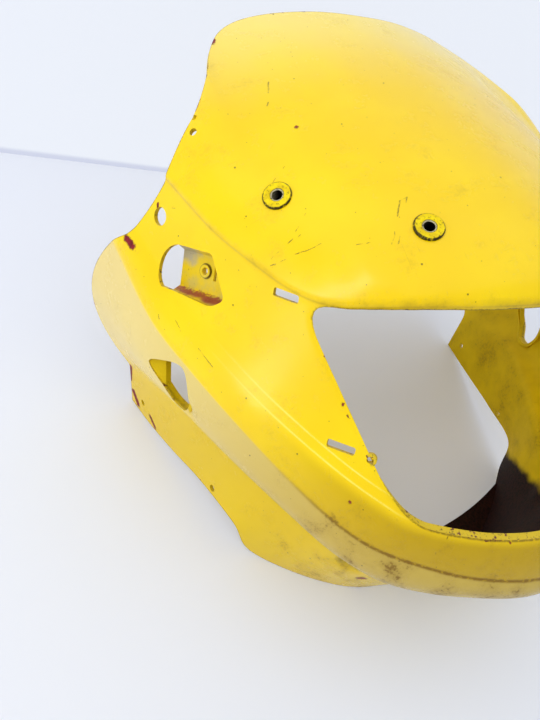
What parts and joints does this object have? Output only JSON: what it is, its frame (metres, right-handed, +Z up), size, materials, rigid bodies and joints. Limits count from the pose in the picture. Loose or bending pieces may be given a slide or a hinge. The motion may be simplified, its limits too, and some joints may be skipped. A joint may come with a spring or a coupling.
{
  "type": "headlight cowl",
  "caption": "Upper fairing shell of a sports motorbike: domed top, large headlight opening, creased side panels, belt round the nose, chin and rubber well nuts.",
  "frame": {"origin": "on the table plane, in the mirror plane, half way along the cowl's length", "axes": "+X to the bike's left, -Y towards the nose, +Z up; the cowl stands on its chin and flanks"},
  "size_m": [0.429, 0.3981, 0.287],
  "materials": {
    "painted_plastic": "glossy yellow paint over dark red plastic, worn and scratched",
    "rubber": "rubber with yellow overspray, worn black at the rims",
    "brass": "dull brass"
  },
  "bodies": {
    "root": {"cowl_shell": "painted_plastic", "well_nuts": "rubber", "nut_inserts": "brass"}
  },
  "joints": []
}
